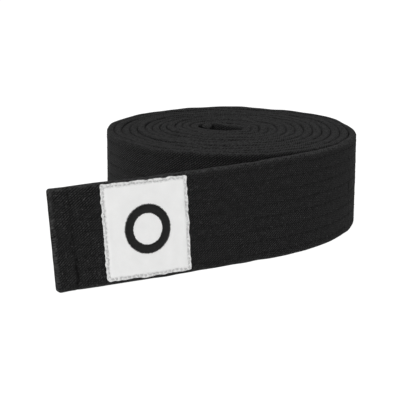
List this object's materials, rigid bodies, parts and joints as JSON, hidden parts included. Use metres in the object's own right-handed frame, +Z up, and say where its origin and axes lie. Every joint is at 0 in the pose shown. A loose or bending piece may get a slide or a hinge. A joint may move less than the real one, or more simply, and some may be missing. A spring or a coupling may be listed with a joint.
{
  "type": "martial arts belt",
  "caption": "Padded black cotton belt with parallel sewn rows, wound up on its edge with its white labelled end lying loose.",
  "frame": {"origin": "middle of the footprint, on the surface that the belt's lower edge rests on", "axes": "+Z up along the coil's axis and across the belt's width, -Y the front, from which the label is seen at the left, +X to the right"},
  "size_m": [0.1214, 0.17, 0.04],
  "materials": {
    "cover_cloth": "matte black cotton twill, quilted by the sewn rows",
    "core_padding": "plain undyed cotton padding, hidden inside the cover",
    "belt_thread": "matte black sewing thread",
    "label_cloth": "white woven label with a faint satin sheen",
    "label_thread": "pale grey stitching",
    "emblem_thread": "black embroidered ring"
  },
  "bodies": {
    "coil": {"cover_coil": "cover_cloth", "core_ply_1_coil": "core_padding", "core_ply_2_coil": "core_padding", "stitch_row_1_coil": "belt_thread", "stitch_row_2_coil": "belt_thread", "stitch_row_3_coil": "belt_thread", "stitch_row_4_coil": "belt_thread", "stitch_row_5_coil": "belt_thread", "stitch_row_6_coil": "belt_thread", "stitch_row_7_coil": "belt_thread", "stitch_row_8_coil": "belt_thread", "hem_seam_eye": "belt_thread"},
    "tail": {"cover_tail": "cover_cloth", "core_ply_1_tail": "core_padding", "core_ply_2_tail": "core_padding", "stitch_row_1_tail": "belt_thread", "stitch_row_2_tail": "belt_thread", "stitch_row_3_tail": "belt_thread", "stitch_row_4_tail": "belt_thread", "stitch_row_5_tail": "belt_thread", "stitch_row_6_tail": "belt_thread", "stitch_row_7_tail": "belt_thread", "stitch_row_8_tail": "belt_thread"},
    "tip": {"cover_tip": "cover_cloth", "core_ply_1_tip": "core_padding", "core_ply_2_tip": "core_padding", "stitch_row_1_tip": "belt_thread", "stitch_row_2_tip": "belt_thread", "stitch_row_3_tip": "belt_thread", "stitch_row_4_tip": "belt_thread", "stitch_row_5_tip": "belt_thread", "stitch_row_6_tip": "belt_thread", "stitch_row_7_tip": "belt_thread", "stitch_row_8_tip": "belt_thread", "hem_seam_tip": "belt_thread", "label": "label_cloth", "label_stitching": "label_thread", "label_emblem": "emblem_thread"}
  },
  "joints": [
    {"name": "tail_swing", "type": "hinge", "parent": "coil", "child": "tail", "pos_m": [0.04606, -0.00779, 0], "axis": [0, 0, 1], "range_deg": [-8, 75]},
    {"name": "tip_fold", "type": "hinge", "parent": "tail", "child": "tip", "pos_m": [-0.00772, -0.05041, 0], "axis": [0, 0, 1], "range_deg": [-60, 75]}
  ]
}
